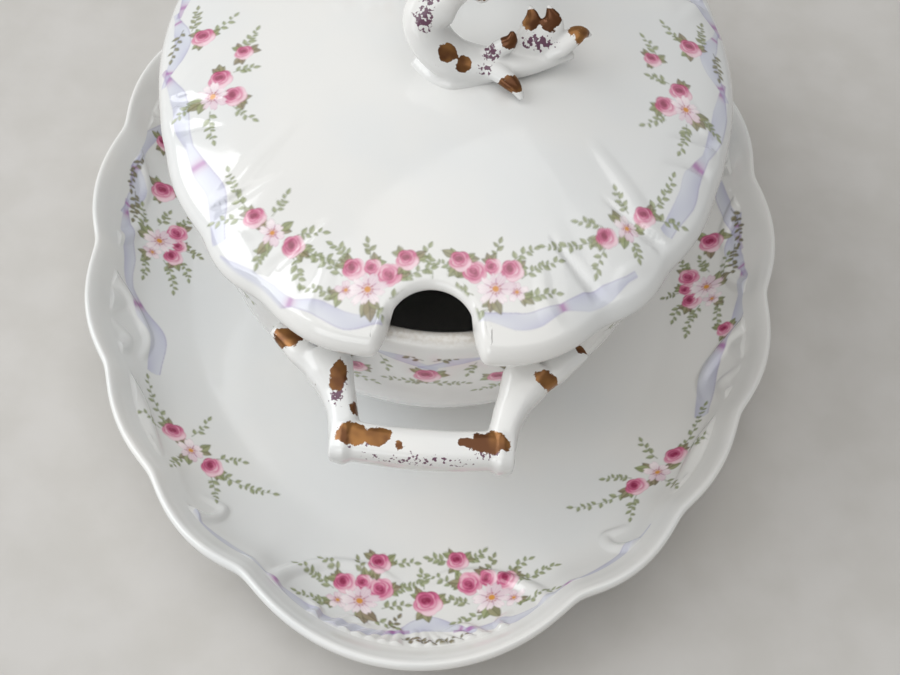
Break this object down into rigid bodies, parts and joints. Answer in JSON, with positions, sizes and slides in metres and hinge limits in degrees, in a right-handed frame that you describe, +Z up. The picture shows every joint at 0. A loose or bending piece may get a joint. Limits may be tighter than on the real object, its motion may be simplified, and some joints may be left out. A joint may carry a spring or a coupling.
{
  "type": "covered sauce dish",
  "caption": "Covered oval porcelain dish on a scalloped underplate; the lid lifts off, is cut for a ladle, and the two-handled bowl lifts off the plate",
  "frame": {"origin": "on the table, under the middle of the underplate's foot ring", "axes": "+Z up, +Y along the long axis of the oval, -Y towards the ladle notch, +X to the right seen from the notch"},
  "size_m": [0.17, 0.241, 0.1082],
  "materials": {
    "printed_porcelain": "clear glaze over white body with a pink and green printed border",
    "plain_porcelain": "clear glaze over white body",
    "gilded_porcelain": "clear glaze with worn gilding on raised leaves",
    "bare_porcelain": "unglazed standing edge"
  },
  "bodies": {
    "underplate": {"underplate": "printed_porcelain", "underplate_foot_ring": "bare_porcelain"},
    "bowl": {"bowl": "printed_porcelain", "bowl_foot_ring": "bare_porcelain", "bowl_handle_front": "gilded_porcelain", "bowl_handle_back": "gilded_porcelain"},
    "lid": {"lid": "printed_porcelain", "lid_flange": "plain_porcelain", "lid_finial": "gilded_porcelain"}
  },
  "joints": [
    {"name": "bowl_lift", "type": "slide", "parent": "underplate", "child": "bowl", "axis": [0, 0, 1], "range_m": [0, 0.12]},
    {"name": "lid_lift", "type": "slide", "parent": "bowl", "child": "lid", "axis": [0, 0, 1], "range_m": [0, 0.12]}
  ]
}
